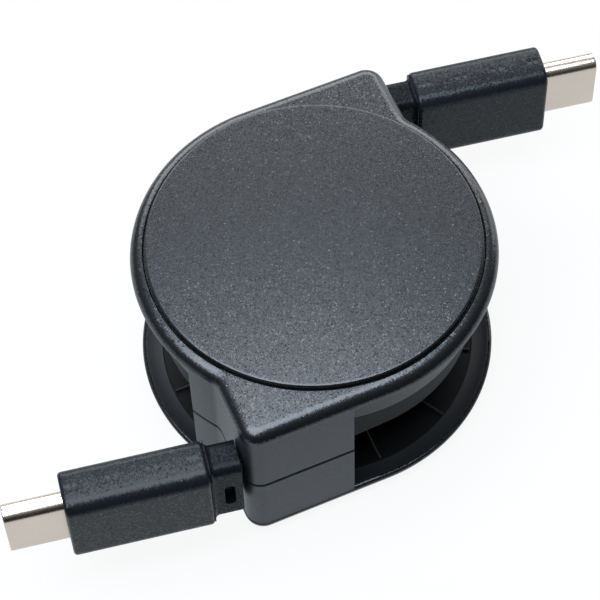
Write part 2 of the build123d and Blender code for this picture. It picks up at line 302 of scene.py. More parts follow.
OUTLINE = case_outline(0)
SPOKES = OUTLINE / np.linalg.norm(OUTLINE, axis=1, keepdims=True)
print("case plan:", len(OUTLINE), "points,", np.round(np.ptp(OUTLINE, axis=0), 2), "mm")

# %% [markdown]
# ## Shared effects
# Three effects come back on several pieces, so each is a node group: the fine grain that spark erosion
# leaves in a mould, the slow change of tone in moulded plastic, and lines drawn one way. They put out
# only normals, values and colours. The shaders stay in the materials.

# %% Node helpers


def add(tree, kind, inputs=None, **settings):
    """Adds a node, sets its properties, and fills its inputs: a socket is linked, a value is set."""
    made = tree.nodes.new(kind)
    for key, value in settings.items():
        setattr(made, key, value)
    for key, value in (inputs or {}).items():
        if isinstance(value, bpy.types.NodeSocket):
            tree.links.new(value, made.inputs[key])
        else:
            made.inputs[key].default_value = value
    return made


def effect(name, inputs, outputs):
    """Empty node group with named sockets, and its input and output nodes."""
    group = bpy.data.node_groups.new(name, "ShaderNodeTree")
    for label, kind, value in inputs:
        group.interface.new_socket(label, in_out="INPUT", socket_type=kind).default_value = value
    for label, kind in outputs:
        group.interface.new_socket(label, in_out="OUTPUT", socket_type=kind)
    return group, group.nodes.new("NodeGroupInput"), group.nodes.new("NodeGroupOutput")


def scaled(tree, vector, factor):
    """Vector times a number."""
    return add(tree, "ShaderNodeVectorMath", {0: vector, "Scale": factor}, operation="SCALE").outputs[0]


def vectors(tree, operation, *given):
    """Output of one Vector Math node."""
    return add(tree, "ShaderNodeVectorMath", dict(enumerate(given)), operation=operation).outputs[0]


def millimetres(tree):
    """Object coordinates in millimetres."""
    return scaled(tree, add(tree, "ShaderNodeTexCoord").outputs["Object"], 1 / MM)


def maths(tree, operation, first, second):
    """Output of one Math node."""
    return add(tree, "ShaderNodeMath", {0: first, 1: second}, operation=operation).outputs[0]


def blended(tree, share, first, second):
    """Colour mixed from two by a share."""
    return add(tree, "ShaderNodeMix", {"Factor": share, 6: first, 7: second}, data_type="RGBA").outputs[2]


print("node helpers ready")

# %% The grain effect


def grain_effect():
    """Grains of a spark eroded face, from a cell pattern. Each grain is a small facet: its normal is the
    face's own plus a random step. The step is at most half the tilt along each axis, times Polish, a
    second random value of each grain, to the power of Rarity: the rarer, the more grains lie flat and
    the fewer tilt and sparkle."""
    group, given, out = effect(
        "eroded_grain",
        [("Grain", "NodeSocketFloat", 0.2), ("Tilt", "NodeSocketFloat", 0.2),
         ("Rarity", "NodeSocketFloat", 1.0)],
        [("Normal", "NodeSocketVector"), ("Polish", "NodeSocketFloat")])
    density = maths(group, "DIVIDE", 1.0, given.outputs["Grain"])
    pits = add(group, "ShaderNodeTexVoronoi", {
        "Vector": millimetres(group), "Scale": density, "Randomness": 1.0})
    grit = add(group, "ShaderNodeTexWhiteNoise", {"Vector": pits.outputs["Position"]})
    rare = maths(group, "POWER", grit.outputs["Value"], given.outputs["Rarity"])
    reach = maths(group, "MULTIPLY", rare, given.outputs["Tilt"])
    step = scaled(group, vectors(group, "SUBTRACT", pits.outputs["Color"], (0.5, 0.5, 0.5)), reach)
    face = add(group, "ShaderNodeNewGeometry").outputs["Normal"]
    facet = vectors(group, "NORMALIZE", vectors(group, "ADD", face, step))
    group.links.new(facet, out.inputs["Normal"])
    group.links.new(grit.outputs["Value"], out.inputs["Polish"])
    return group


GRAIN = grain_effect()
print("group", GRAIN.name)

# %% The tone effect


def tone_effect():
    """A colour that drifts: slow noise over some millimetres mixes a darker and a lighter tone."""
    group, given, out = effect(
        "moulded_tone",
        [("Dark", "NodeSocketColor", (0, 0, 0, 1)), ("Light", "NodeSocketColor", (1, 1, 1, 1)),
         ("Drift", "NodeSocketFloat", 6.0)],
        [("Color", "NodeSocketColor")])
    density = maths(group, "DIVIDE", 1.0, given.outputs["Drift"])
    cloud = add(group, "ShaderNodeTexNoise", {"Vector": millimetres(group), "Scale": density, "Detail": 4.0})
    mixed = blended(group, cloud.outputs["Fac"], given.outputs["Dark"], given.outputs["Light"])
    group.links.new(mixed, out.inputs["Color"])
    return group


TONE = tone_effect()
print("group", TONE.name)

# %% The drawn line effect


def line_effect():
    """Lines drawn one way: noise squeezed across the lines and stretched along them."""
    group, given, out = effect(
        "drawn_lines", [("Squeeze", "NodeSocketVector", (1, 1, 1))], [("Height", "NodeSocketFloat")])
    place = vectors(group, "MULTIPLY", millimetres(group), given.outputs["Squeeze"])
    lines = add(group, "ShaderNodeTexNoise", {"Vector": place, "Scale": 1.0, "Detail": 3.0})
    group.links.new(lines.outputs["Fac"], out.inputs["Height"])
    return group


LINES = line_effect()
print("group", LINES.name)

# %% [markdown]
# ## Finishes
# All the plastic is charcoal, but no two mouldings shine alike: the covers and the disc have a fine
# grain in which a few facets sparkle, the upright walls a flatter one, and the plugs a livelier one with
# a blue cast. Each finish is the same few nodes with its own values: a drifting tone, and either grains
# that tilt the face, because a sparkle comes from single grains, or drawn lines that raise a bump.

# %% Finish helper


def finish(name, dark, light, **fixed):
    """Material with a drifting tone. fixed sets sockets of the shader that are the same all over. Gives
    the material, its tree and its shader."""
    material = bpy.data.materials.new(name)
    material.use_nodes = True
    tree = material.node_tree
    shader = tree.nodes["Principled BSDF"]
    for key, value in fixed.items():
        shader.inputs[key.replace("_", " ")].default_value = value
    tone = add(tree, "ShaderNodeGroup", {"Dark": (*dark, 1), "Light": (*light, 1)}, node_tree=TONE)
    tree.links.new(tone.outputs["Color"], shader.inputs["Base Color"])
    return material, tree, shader


def ranged(tree, mask, span_of, socket):
    """Spreads a mask from zero to one over a range of values and links it to a socket."""
    ramp = add(tree, "ShaderNodeMapRange", {"Value": mask, "To Min": span_of[0], "To Max": span_of[1]})
    tree.links.new(ramp.outputs[0], socket)


def grained(name, dark, light, rough, grain, tilt, gloss, rarity=1.0):
    """Moulded plastic with an eroded grain of a given size in millimetres, whose facets tilt. rough is the
    range of its roughness, gloss the shader's specular level, and rarity says how few grains sparkle."""
    material, tree, shader = finish(name, dark, light, Specular_IOR_Level=gloss)
    texture = add(tree, "ShaderNodeGroup", {"Grain": grain, "Tilt": tilt, "Rarity": rarity}, node_tree=GRAIN)
    ranged(tree, texture.outputs["Polish"], rough, shader.inputs["Roughness"])
    tree.links.new(texture.outputs["Normal"], shader.inputs["Normal"])
    return material


def drawn(name, dark, light, rough, squeeze, depth, **fixed):
    """A face with lines drawn one way, depth in millimetres. rough is the range of its roughness, and
    squeeze how fine the lines are along X, Y and Z."""
    material, tree, shader = finish(name, dark, light, **fixed)
    texture = add(tree, "ShaderNodeGroup", {"Squeeze": squeeze}, node_tree=LINES)
    height = texture.outputs["Height"]
    ranged(tree, height, rough, shader.inputs["Roughness"])
    bump = add(tree, "ShaderNodeBump", {"Height": height, "Distance": depth * MM, "Strength": 1.0})
    tree.links.new(bump.outputs[0], shader.inputs["Normal"])
    return material


print("finish helpers ready")

# %% Plastics
COVER = grained(
    "cover_charcoal", (0.005, 0.0053, 0.0058), (0.0062, 0.0066, 0.0072),
    rough=(0.32, 0.22), grain=0.15, tilt=0.24, gloss=0.54, rarity=1.8)
DISC = grained(
    "disc_charcoal", (0.0055, 0.0058, 0.0063), (0.0068, 0.0072, 0.0078),
    rough=(0.32, 0.22), grain=0.14, tilt=0.2, gloss=0.53, rarity=2.2)
DISH = grained(
    "dish_charcoal", (0.009, 0.0096, 0.0104), (0.011, 0.0117, 0.0127),
    rough=(0.44, 0.38), grain=0.18, tilt=0.05, gloss=0.35)
# The floor inside the case is a darker copy of the cover's plastic: its darkness is painted shade for the
# shade deep inside the case.
INSIDE_SHADE = grained(
    "inside_charcoal_painted_shade", (0.0018, 0.0019, 0.002), (0.0024, 0.0025, 0.0027),
    rough=(0.46, 0.4), grain=0.2, tilt=0.05, gloss=0.15)
WALL = grained(
    "wall_charcoal", (0.016, 0.0172, 0.0196), (0.019, 0.0204, 0.0233),
    rough=(0.46, 0.4), grain=0.17, tilt=0.06, gloss=0.45)
GRIP = grained(
    "grip_charcoal", (0.006, 0.0068, 0.0083), (0.0075, 0.0085, 0.0103),
    rough=(0.36, 0.22), grain=0.15, tilt=0.3, gloss=0.18)
NECK = grained(
    "neck_charcoal", (0.004, 0.0046, 0.0055), (0.005, 0.0057, 0.0069),
    rough=(0.36, 0.22), grain=0.15, tilt=0.36, gloss=0.07)
REEL = grained(
    "reel_charcoal", (0.008, 0.0085, 0.0093), (0.01, 0.0106, 0.0116),
    rough=(0.4, 0.36), grain=0.2, tilt=0.03, gloss=0.38)
INSULATOR = grained(
    "insulator_black", (0.006, 0.006, 0.0064), (0.009, 0.009, 0.0094),
    rough=(0.5, 0.4), grain=0.2, tilt=0.05, gloss=0.45)
print("materials with the plastics:", len(bpy.data.materials))

# %% Cable, metals and board
JACKET = drawn(
    "cable_jacket", (0.005, 0.0053, 0.0056), (0.0065, 0.0069, 0.0073),
    rough=(0.5, 0.65), squeeze=(0.05, 0.05, 3), depth=0.02, Specular_IOR_Level=0.16)
NICKEL = drawn(
    "shell_nickel", (0.59, 0.49, 0.41), (0.69, 0.58, 0.49),
    rough=(0.22, 0.32), squeeze=(0.25, 12, 12), depth=0.002, Metallic=1.0)
GOLD = drawn(
    "contact_gold", (0.68, 0.44, 0.15), (0.8, 0.55, 0.22),
    rough=(0.2, 0.32), squeeze=(0.5, 9, 9), depth=0.002, Metallic=1.0)
SPRING = drawn(
    "spring_steel", (0.2, 0.22, 0.26), (0.32, 0.33, 0.36),
    rough=(0.25, 0.4), squeeze=(0.4, 0.4, 9), depth=0.004, Metallic=1.0)
BALL = drawn(
    "ball_steel", (0.5, 0.5, 0.51), (0.62, 0.62, 0.63),
    rough=(0.08, 0.14), squeeze=(2, 2, 2), depth=0.001, Metallic=1.0)
SCREW = drawn(
    "screw_zinc", (0.42, 0.42, 0.43), (0.55, 0.55, 0.56),
    rough=(0.28, 0.42), squeeze=(4, 0.6, 0.6), depth=0.005, Metallic=1.0)
BOARD = drawn(
    "board_laminate", (0.008, 0.06, 0.028), (0.012, 0.085, 0.04),
    rough=(0.3, 0.45), squeeze=(4, 4, 4), depth=0.006)
print("materials with the metals:", len(bpy.data.materials))

# %% [markdown]
# ## Finishes for the CAD nodes
# Pieces inside the case and inside the plugs keep their CAD solids. The record names a material slot
# for every node, so one table from slot to finish dresses them all.

# %% Dress the CAD nodes
FINISH_OF_SLOT = {
    "case_plastic": COVER, "disc_plastic": DISC, "reel_plastic": REEL, "cable_jacket": JACKET,
    "grip_plastic": GRIP, "relief_rubber": NECK, "shell_nickel": NICKEL, "carrier_plastic": INSULATOR,
    "contact_gold": GOLD, "board_laminate": BOARD, "spring_steel": SPRING, "ball_steel": BALL,
    "screw_steel": SCREW,
}
for part in frame["record"]["subparts"]:
    for material_slot in frame["nodes"][part["node"]].material_slots:
        material_slot.material = FINISH_OF_SLOT[part["material_slot"]]

# %% [markdown]
# ## The covers
# A cover is a plate with a rounded rim whose plan is a circle with two ears. Its face is sunk for the
# disc and its inside is dished. Cut from a solid it would need a dozen booleans, but seen as rings it
# is one walk: from the middle of the outer face out to the rim, round it, and back along the inside.
# On the flats a ring of the case plan follows a plain circle, and the cells bridge the two.

# %% Plate of a cover


def circle(radius):
    """Ring whose points lie on the spokes of the case plan."""
    return SPOKES * radius


def quarter(steps):
    """Sine and one minus cosine over a quarter turn."""
    angle = np.linspace(0, math.pi / 2, steps + 1)
    return zip(np.sin(angle), 1 - np.cos(angle))


def rim_rows():
    """Plan and depth below the outer face of the rings from the disc's seat round the rim to the dished
    floor. The rim is a quarter round of the plan drawn in; the dish is a slope with a parabolic sag."""
    seat = DISC_RADIUS + DISC_GAP
    rows = [(circle(seat), DISC_RECESS)]
    rows += [(circle(seat + EDGE * c), EDGE * (1 - s)) for s, c in quarter(3)]
    rows += [(circle(seat + 2 * EDGE), 0), (case_outline(RIM_ROUNDING + EDGE / 2), 0)]
    rows += [(case_outline(RIM_ROUNDING * (1 - s)), RIM_ROUNDING * c) for s, c in quarter(14)]
    rows += [(case_outline(LIP * c), RIM_HEIGHT - LIP * (1 - s)) for s, c in quarter(6)]
    rows += [(circle(DISH_RADIUS + EDGE), RIM_HEIGHT)]
    for share in np.linspace(0, 1, DISH_ROWS):
        radius = DISH_RADIUS - share * (DISH_RADIUS - FLOOR_RADIUS)
        slope = RIM_HEIGHT - share * (RIM_HEIGHT - PLATE - DISH_STEP)
        rows.append((circle(radius), slope - 4 * DISH_SAG * share * (1 - share)))
    rows += [(circle(FLOOR_RADIUS), PLATE + EDGE), (circle(FLOOR_RADIUS - EDGE), PLATE)]
    return rows


def plate_skin(rows, height_of, wrap):
    """Skin over plan rows, each lifted to the height that belongs to its depth."""
    rings = [np.column_stack([plan, np.full(len(plan), height_of(depth))]) for plan, depth in rows]
    return ring_skin(rings, wrap)


def upper_height(depth):
    """Height of a depth below the upper cover's outer face."""
    return CASE_TOP - depth


def lower_height(depth):
    """Height of a depth above the lower cover's outer face."""
    return CASE_BOTTOM + depth


print("rim rows:", len(rim_rows()))

# %% Middle of each cover
BOSS_RADIUS = 4.2
SHOULDER_HEIGHT = 1.4
BOSS_DROP = 0.65
SCREW_SEAT_RADIUS = 1.9
SCREW_SEAT_DEPTH = 0.8
SCREW_HOLE = 1.0
POST_RADIUS = 2.6
PILOT_RADIUS = 0.9
PILOT_DEPTH = 6.5


def upper_plate():
    """Upper cover: the walk starts and ends at the screw hole, so the stack wraps."""
    seat = DISC_RECESS + SCREW_SEAT_DEPTH
    boss = PLATE + BOSS_DROP
    rows = [(circle(SCREW_HOLE), seat), (circle(SCREW_SEAT_RADIUS), seat)]
    rows += [(circle(SCREW_SEAT_RADIUS), DISC_RECESS)] + rim_rows()
    rows += [(circle(BOSS_RADIUS), PLATE), (circle(BOSS_RADIUS), boss), (circle(SCREW_HOLE), boss)]
    return plate_skin(rows, upper_height, True)


def lower_plate():
    """Lower cover: the walk ends up the shoulder and the post and down the screw's pilot hole."""
    shoulder = PLATE + SHOULDER_HEIGHT
    post = CASE_TOP - PLATE - BOSS_DROP - CASE_BOTTOM
    rows = [(circle(BOSS_RADIUS), DISC_RECESS)] + rim_rows()
    rows += [(circle(BOSS_RADIUS), PLATE), (circle(BOSS_RADIUS), shoulder), (circle(POST_RADIUS), shoulder)]
    rows += [(circle(POST_RADIUS), post), (circle(PILOT_RADIUS), post)]
    rows += [(circle(PILOT_RADIUS), post - PILOT_DEPTH)]
    return plate_skin(rows, lower_height, False)


print("plates:", len(upper_plate()[1]), "and", len(lower_plate()[1]), "cells")

# %% [markdown]
# ## Spout walls
# Between the plates stand two curved walls, one at each ear. A wall is a strip with a thickness that
# follows the case plan, with a slit in its end face where the cable comes out. The slit is made by
# lifting the strip's edge over that stretch, so no cut is needed. The inner quarter of the thickness
# carries a tongue on the lower cover and a groove on the upper one, the lap that closes the parting
# line. The rest stops just short of the other cover, and that is the dark line round the spout.

# %% One spout wall
CABLE_THICK = 1.0
CABLE_INSET = 0.75
CABLE_OFFSET = span("cable_run_a")[0][1] + CABLE_THICK / 2
NECK_OFFSET = CABLE_OFFSET - CABLE_INSET
NECK_END = span("strain_relief_a")[1][0]
BLOCK_START = 4.3
BLOCK_END = math.radians(203.6)
BLOCK_BACK_STEPS = 8
SLIT_HALF_WIDTH = 0.65
SLIT_HALF_HEIGHT = 2.45
SLIT_DEPTH = 2.65
SLIT_END = NECK_END + SLIT_DEPTH
WALL_SINK = 0.3
PARTING_GAP = 0.24
PARTING_EDGE = 0.03
END_ROUND = 0.15
END_STATIONS = 8
LAP_SHARE = 0.75
LAP_TONGUE = 0.6
LAP_GROOVE = 0.65


def wall_line(inset):
    """Plan line of the wall at an inset, with extra stations inside its first and its last step."""
    dense = half_outline(inset, BLOCK_START, BLOCK_END, 2, BLOCK_BACK_STEPS)
    index = np.arange(len(dense))
    tip = np.linspace(0, 1, END_STATIONS)[:-1]
    place = np.concatenate([tip, index[1:-1], index[-1] - tip[::-1]])
    return np.stack([np.interp(place, index, dense[:, k]) for k in (0, 1)], axis=-1)


def end_rounding(line):
    """How far the faces draw in near the two ends of the strip: a quarter round."""
    along = np.concatenate([[0], np.cumsum(np.linalg.norm(np.diff(line, axis=0), axis=1))])
    past = np.clip(END_ROUND - np.minimum(along, along[-1] - along), 0, END_ROUND)
    return END_ROUND - np.sqrt(END_ROUND**2 - past**2)


def wall_skin(lap, slit, height_of):
    """Strip along the plan line. Its section is a closed line of (share of the thickness, edge or top).
    lap is how far the inner part of its edge stands back from the parting face, slit how far the slit's."""
    outer, inner = wall_line(WALL_OUTER), wall_line(WALL_INNER)
    thick = np.linalg.norm(inner - outer, axis=1)
    top = HALF_HEIGHT - RIM_HEIGHT + WALL_SINK
    soft, tip = PARTING_EDGE / thick, end_rounding(outer) / thick

    def edge(share, lift, inward):
        """One lengthwise line of the strip, at a share of its thickness, lifted from its edge and at most
        to its top."""
        plan = outer + (inner - outer) * np.clip(share, tip, 1 - tip)[:, None]
        over = (plan[:, 0] < SLIT_END) & (np.abs(plan[:, 1] - CABLE_OFFSET) < SLIT_HALF_WIDTH)
        low = np.where(over, slit, lap if inward else PARTING_GAP)
        return np.column_stack([plan, np.minimum(low + lift, top)])

    lines = [edge(0, 2 * PARTING_EDGE, False), edge(0, PARTING_EDGE, False), edge(soft, 0, False),
             edge(LAP_SHARE, 0, False), edge(LAP_SHARE, 0, True), edge(1, 0, True),
             edge(1, math.inf, True), edge(0, math.inf, True)]
    rings = np.stack(lines, axis=1)
    rings[..., 2] = height_of(HALF_HEIGHT - rings[..., 2])
    return ring_skin(rings)


def both_walls(lap, slit, height_of):
    """The wall of ear A, and the same turned half a turn for ear B."""
    wall = wall_skin(lap, slit, height_of)
    return [wall, moved(wall, half_turn)]


print("wall line:", len(wall_line(WALL_OUTER)), "stations")

# %% [markdown]
# ## Ribs and the ball's pocket
# Twelve low ribs run out over the dished floor, and show as short light lines in the dark of the side
# windows. The lower cover also carries the pocket of the pull lock's ball.

# %% Ribs and pocket
RIB_COUNT = 12
RIB_WIDTH = 0.32
RIB_HEIGHT = 0.3
RIB_INNER = 6.5
RIB_GAP = 0.25
RIB_OUTER = FLOOR_RADIUS - RIB_GAP
ROOT = 0.05
POCKET_TRAVEL = 1.1
POCKET_SLOT = 1.3
POCKET_WALL = 1.0
POCKET_SEAT = 0.6
POCKET_POINTS = 64


def ribs(height_of):
    """Bars with softened tops, each carried from the inner to the outer radius along its own spoke."""
    half = RIB_WIDTH / 2
    low, high = PLATE - ROOT, PLATE + RIB_HEIGHT
    across = np.array([-half, -half, -half + EDGE, half - EDGE, half, half])
    depth = np.array([low, high - EDGE, high, high, high - EDGE, low])
    skins = []
    for angle in EAR_TURN + np.arange(RIB_COUNT) * 2 * np.pi / RIB_COUNT:
        plans = [np.column_stack([np.full(len(across), reach), across]) for reach in (RIB_INNER, RIB_OUTER)]
        skins.append(ring_skin([np.column_stack([turn(plan, angle), height_of(depth)]) for plan in plans]))
    return skins


def ball_pocket():
    """Round-ended block with a slot: two stadium lines, each up one side and across."""
    low, high = span("lock_ball")
    angle = np.linspace(0, 2 * np.pi, POCKET_POINTS, endpoint=False)
    ends = np.where(np.cos(angle) > 0, 0.5, -0.5) * POCKET_TRAVEL
    middle = np.linalg.norm((low + high)[:2]) / 2 + POCKET_TRAVEL / 2

    def stadium(radius, height):
        """Stadium line at a height, on the spoke of the ball."""
        plan = np.column_stack([middle + ends + radius * np.cos(angle), radius * np.sin(angle)])
        return np.column_stack([turn(plan, EAR_TURN), np.full(len(plan), height)])

    floor, seat = CASE_BOTTOM + PLATE - ROOT, low[2]
    outer = POCKET_SLOT + POCKET_WALL
    return ring_skin([stadium(outer, floor), stadium(outer, seat + POCKET_SEAT),
                      stadium(POCKET_SLOT, seat + POCKET_SEAT), stadium(POCKET_SLOT, seat)])


print("ribs on each cover:", len(ribs(upper_height)))

# %% Both covers
CABLE_LIFT = CABLE_HEIGHT - MID_HEIGHT


def line_inside(cover):
    """Gives the plate's faces that look into the case, deeper than its outer skin, their own finishes:
    the slope of the dish a dull one, and the floor within it a darker one, whose darkness is painted shade."""
    middle = np.empty(3 * len(cover.data.polygons))
    cover.data.polygons.foreach_get("center", middle)
    middle = middle.reshape(-1, 3) / MM
    use = np.empty(len(middle), np.int32)
    cover.data.polygons.foreach_get("material_index", use)
    deep = np.abs(middle[:, 2] - MID_HEIGHT) < HALF_HEIGHT - PLATE + EDGE
    radius = np.linalg.norm(middle[:, :2], axis=1)
    plate = (use == 0) & deep
    # The floor's darker finish is painted shade.
    for finish_used, reach in ((DISH, DISH_RADIUS), (INSIDE_SHADE, FLOOR_RADIUS)):
        use[plate & (radius < reach)] = len(cover.data.materials)
        cover.data.materials.append(finish_used)
    cover.data.polygons.foreach_set("material_index", use)


for node, plates, lap, lift, height_of in (
        ("upper_cover", [upper_plate()], LAP_GROOVE, CABLE_LIFT, upper_height),
        ("lower_cover", [lower_plate(), ball_pocket()], -LAP_TONGUE, -CABLE_LIFT, lower_height)):
    skins = plates + ribs(height_of) + both_walls(lap, SLIT_HALF_HEIGHT + lift, height_of)
    finishes = [COVER] * len(plates) + [REEL] * RIB_COUNT + [WALL] * 2
    cover = mesh_piece(node + "_shell", skins, finishes)
    line_inside(cover)
    settle(cover, "case", "case_plastic", node)

# %% [markdown]
# ## Face discs
# A thin disc is pressed into each cover and stands a little proud, with a softened edge and a narrow
# dark gap round it. It is a turned profile.

# %% Discs
DISC_EDGE = 0.22


def face_disc(low, high):
    """Turned disc between the height of its hidden face and that of its shown face."""
    up = math.copysign(1, high - low)
    profile = [(DISC_RADIUS - DISC_EDGE, low), (DISC_RADIUS, low)]
    profile += [(DISC_RADIUS - DISC_EDGE * c, high - up * DISC_EDGE * (1 - s)) for s, c in quarter(8)]
    profile += [(DISC_RADIUS - 2 * DISC_EDGE, high)]
    return lathe(profile, wrap=False)


for name, (low, high) in (("upper_disc", span("upper_disc")), ("lower_disc", span("lower_disc")[::-1])):
    disc = mesh_piece(name + "_face", [face_disc(low[2], high[2])], [DISC])
    settle(disc, "case", "disc_plastic", name)

# %% [markdown]
# ## Spring barrel
# The smooth wall under the upper rim is the reel's spring barrel, a turned cup.

# %% Barrel
BARREL_BORE = 6.45
BARREL_WALL = 1.0
BARREL_FLOOR = 0.9
LID_STEP = 0.5
LID_SEAT = 0.8
BARREL_EDGE = 0.12
barrel_low, barrel_high = span("spring_barrel")[0][2], span("spring_barrel")[1][2]
barrel_inner = BARREL_RADIUS - BARREL_WALL
barrel_profile = softened([
    (BARREL_BORE, barrel_low), (BARREL_RADIUS, barrel_low), (BARREL_RADIUS, barrel_high),
    (barrel_inner + LID_STEP, barrel_high), (barrel_inner + LID_STEP, barrel_high - LID_SEAT),
    (barrel_inner, barrel_high - LID_SEAT), (barrel_inner, barrel_low + BARREL_FLOOR),
    (BARREL_BORE, barrel_low + BARREL_FLOOR)], BARREL_EDGE)
barrel = mesh_piece("spring_barrel_cup", [lathe(barrel_profile)], [REEL])
settle(barrel, "reel", "reel_plastic", "spring_barrel")

# %% [markdown]
# ## Sections of the plugs and the cable
# Grip, neck, connector and cable all have the section of a rounded rectangle. Its points keep their
# order whatever its size, so a ring of one size joins neatly to a ring of another.

# %% Rounded rectangles
CORNER_POINTS = 10
SIDE_SHARES = np.array([0.02, 0.15, 0.3, 0.455, 0.485, 0.515, 0.545, 0.7, 0.85, 0.98])


def rounded_box(half_wide, half_tall, edge):
    """Rectangle with quarter round corners: four arcs about the corner centres, and between them points
    at fixed shares of each straight side."""
    centre = np.array([half_wide - edge, half_tall - edge])
    right_angle = math.pi / 2
    corners = enumerate([(1, 1), (-1, 1), (-1, -1), (1, -1)])
    arcs = [arc(centre * signs, edge, k * right_angle, (k + 1) * right_angle, CORNER_POINTS, closed=True)
            for k, signs in corners]
    line = []
    for here, following in zip(arcs, arcs[1:] + arcs[:1]):
        share = SIDE_SHARES[:, None]
        line += [here, here[-1] * (1 - share) + following[0] * share]
    return np.concatenate(line)


def across_x(section, x, offset):
    """Section points carried to a place along X, offset sideways, at the height of the cable."""
    return np.column_stack([np.full(len(section), x), section + np.array([offset, CABLE_HEIGHT])])


print("section points:", len(rounded_box(2, 3, 0.5)))

# %% [markdown]
# ## Plug grips
# A grip is a rounded bar, wide side upright, moulded over the connector. Down the middle of its narrow
# faces runs the line where the mould halves met, faint and broken. It is a groove in the mesh: the two
# middle points of those sides are pushed in, by a depth that comes and goes along the grip.

# %% Grip
GRIP_EDGE = 1.4
GRIP_ROUNDING = 0.45
GRIP_CROWN = 0.2
SHELL_EDGE_SHARE = 0.99
SOCKET_DEPTH = 4.0
TENON = (1.3, 4.0, 0.2)
TENON_DEPTH = 3.0
SEAM_DEPTH = 0.06
SEAM_WAVES = ((1.0, 1.31, 0.4), (0.6, 2.93, 1.1))
SEAM_GAIN = 0.9
GRIP_ROWS = 120
grip_low, grip_high = span("plug_grip_a")
GRIP_FRONT, GRIP_REAR = grip_low[0], grip_high[0]
GRIP_HALF = (grip_high - grip_low)[1:] / 2
GRIP_OFFSET = (grip_low + grip_high)[1] / 2
shell_low, shell_high = span("connector_shell_a")
SHELL_HALF = (shell_high - shell_low)[1:] / 2


def grip_section(inset):
    """Section of the grip drawn in by an inset, its narrow faces crowned by a parabola."""
    half = GRIP_HALF - inset
    section = rounded_box(*half, GRIP_EDGE - inset)
    section[:, 1] += np.sign(section[:, 1]) * GRIP_CROWN * (1 - (section[:, 0] / half[0]) ** 2)
    return section


def seam_strength(x):
    """How deep the mould line is along the grip: the sum of two waves, each of a height, a rate and a
    shift, clipped, so that it shows as dashes."""
    wave = sum(height * np.sin(x * rate + shift) for height, rate, shift in SEAM_WAVES)
    return np.clip(wave * SEAM_GAIN, 0, 1)


def seam_columns():
    """Index of the points in the middle of the two narrow sides."""
    block = CORNER_POINTS + len(SIDE_SHARES)
    middle = CORNER_POINTS + len(SIDE_SHARES) // 2
    return np.array([middle - 1, middle, 2 * block + middle - 1, 2 * block + middle])


def plug_grip():
    """Grip of plug A, from the bottom of the connector's seat round the outside to the neck's seat."""
    shell = rounded_box(*SHELL_HALF, SHELL_HALF[0] * SHELL_EDGE_SHARE)
    rows = [across_x(shell, x, GRIP_OFFSET) for x in (GRIP_FRONT + SOCKET_DEPTH, GRIP_FRONT)]
    rows += [across_x(grip_section(GRIP_ROUNDING * (1 - s)), GRIP_FRONT + GRIP_ROUNDING * c, GRIP_OFFSET)
             for s, c in quarter(8)]
    columns = seam_columns()
    for x in np.linspace(GRIP_FRONT + GRIP_ROUNDING, GRIP_REAR - GRIP_ROUNDING, GRIP_ROWS)[1:-1]:
        ring = across_x(grip_section(0), x, GRIP_OFFSET)
        ring[columns, 2] -= np.sign(ring[columns, 2] - CABLE_HEIGHT) * SEAM_DEPTH * seam_strength(x)
        rows.append(ring)
    rows += [across_x(grip_section(GRIP_ROUNDING * c), GRIP_REAR - GRIP_ROUNDING * (1 - s), GRIP_OFFSET)
             for s, c in quarter(8)]
    rows += [across_x(rounded_box(*TENON), x, NECK_OFFSET) for x in (GRIP_REAR, GRIP_REAR - TENON_DEPTH)]
    return ring_skin(rows)


def both_plugs(kind, skin, finish_used, slot):
    """The piece on plug A, and the same turned half a turn on plug B."""
    made = []
    for side, change in SIDES:
        piece = mesh_piece(f"{kind}_{side}_skin", [moved(skin, change)], [finish_used])
        settle(piece, f"plug_{side}", slot, f"{kind}_{side}")
        made.append(piece)
    return made


both_plugs("plug_grip", plug_grip(), GRIP, "grip_plastic")

# %% [markdown]
# ## Strain reliefs
# The neck behind each grip is the strain relief, where the real cable bends. It flares into the grip's
# rear in a hollow curve and has one small window in each broad face. The neck is a ring stack; the
# windows are cut with a Boolean modifier, because a hole with its own round corners doesn't lie along the
# rings.

# %% Neck
NECK_HALF = (2.025, 5.15)
NECK_EDGE = 1.0
NECK_ROWS = 12
FLARE_ROOT = 0.12
FLARE_RADIUS = 0.55
FLARE_INSET = 0.15
CABLE_SLOT = (0.6, 2.4, 0.2)
CABLE_SLOT_END = NECK_END - 3.3


def neck_section(spread):
    """Section of the neck grown by a spread, kept inside the outline of the grip."""
    section = rounded_box(NECK_HALF[0] + spread, NECK_HALF[1] + spread, NECK_EDGE + spread)
    limit = GRIP_HALF - FLARE_INSET
    shift = GRIP_OFFSET - NECK_OFFSET
    section[:, 0] = np.clip(section[:, 0], shift - limit[0], shift + limit[0])
    section[:, 1] = np.clip(section[:, 1], -limit[1], limit[1])
    return section


def neck_skin():
    """Neck of plug A: tenon, root, hollow flare, straight neck and the slot for the cable. The flare is
    a quarter round about a centre outside the neck."""
    def at(section, x):
        """Ring at a place along X on the neck's own axis."""
        return across_x(section, x, NECK_OFFSET)

    root = GRIP_REAR + FLARE_ROOT
    rows = [at(rounded_box(*TENON), x) for x in (GRIP_REAR - TENON_DEPTH, GRIP_REAR)]
    rows += [at(neck_section(FLARE_ROOT + FLARE_RADIUS), x) for x in (GRIP_REAR, root)]
    rows += [at(neck_section(FLARE_RADIUS * (1 - s)), root + FLARE_RADIUS * c) for s, c in quarter(10)]
    rows += [at(neck_section(0), x) for x in np.linspace(root + FLARE_RADIUS, NECK_END, NECK_ROWS)[1:]]
    rows += [across_x(rounded_box(*CABLE_SLOT), x, CABLE_OFFSET) for x in (NECK_END, CABLE_SLOT_END)]
    return ring_skin(rows)


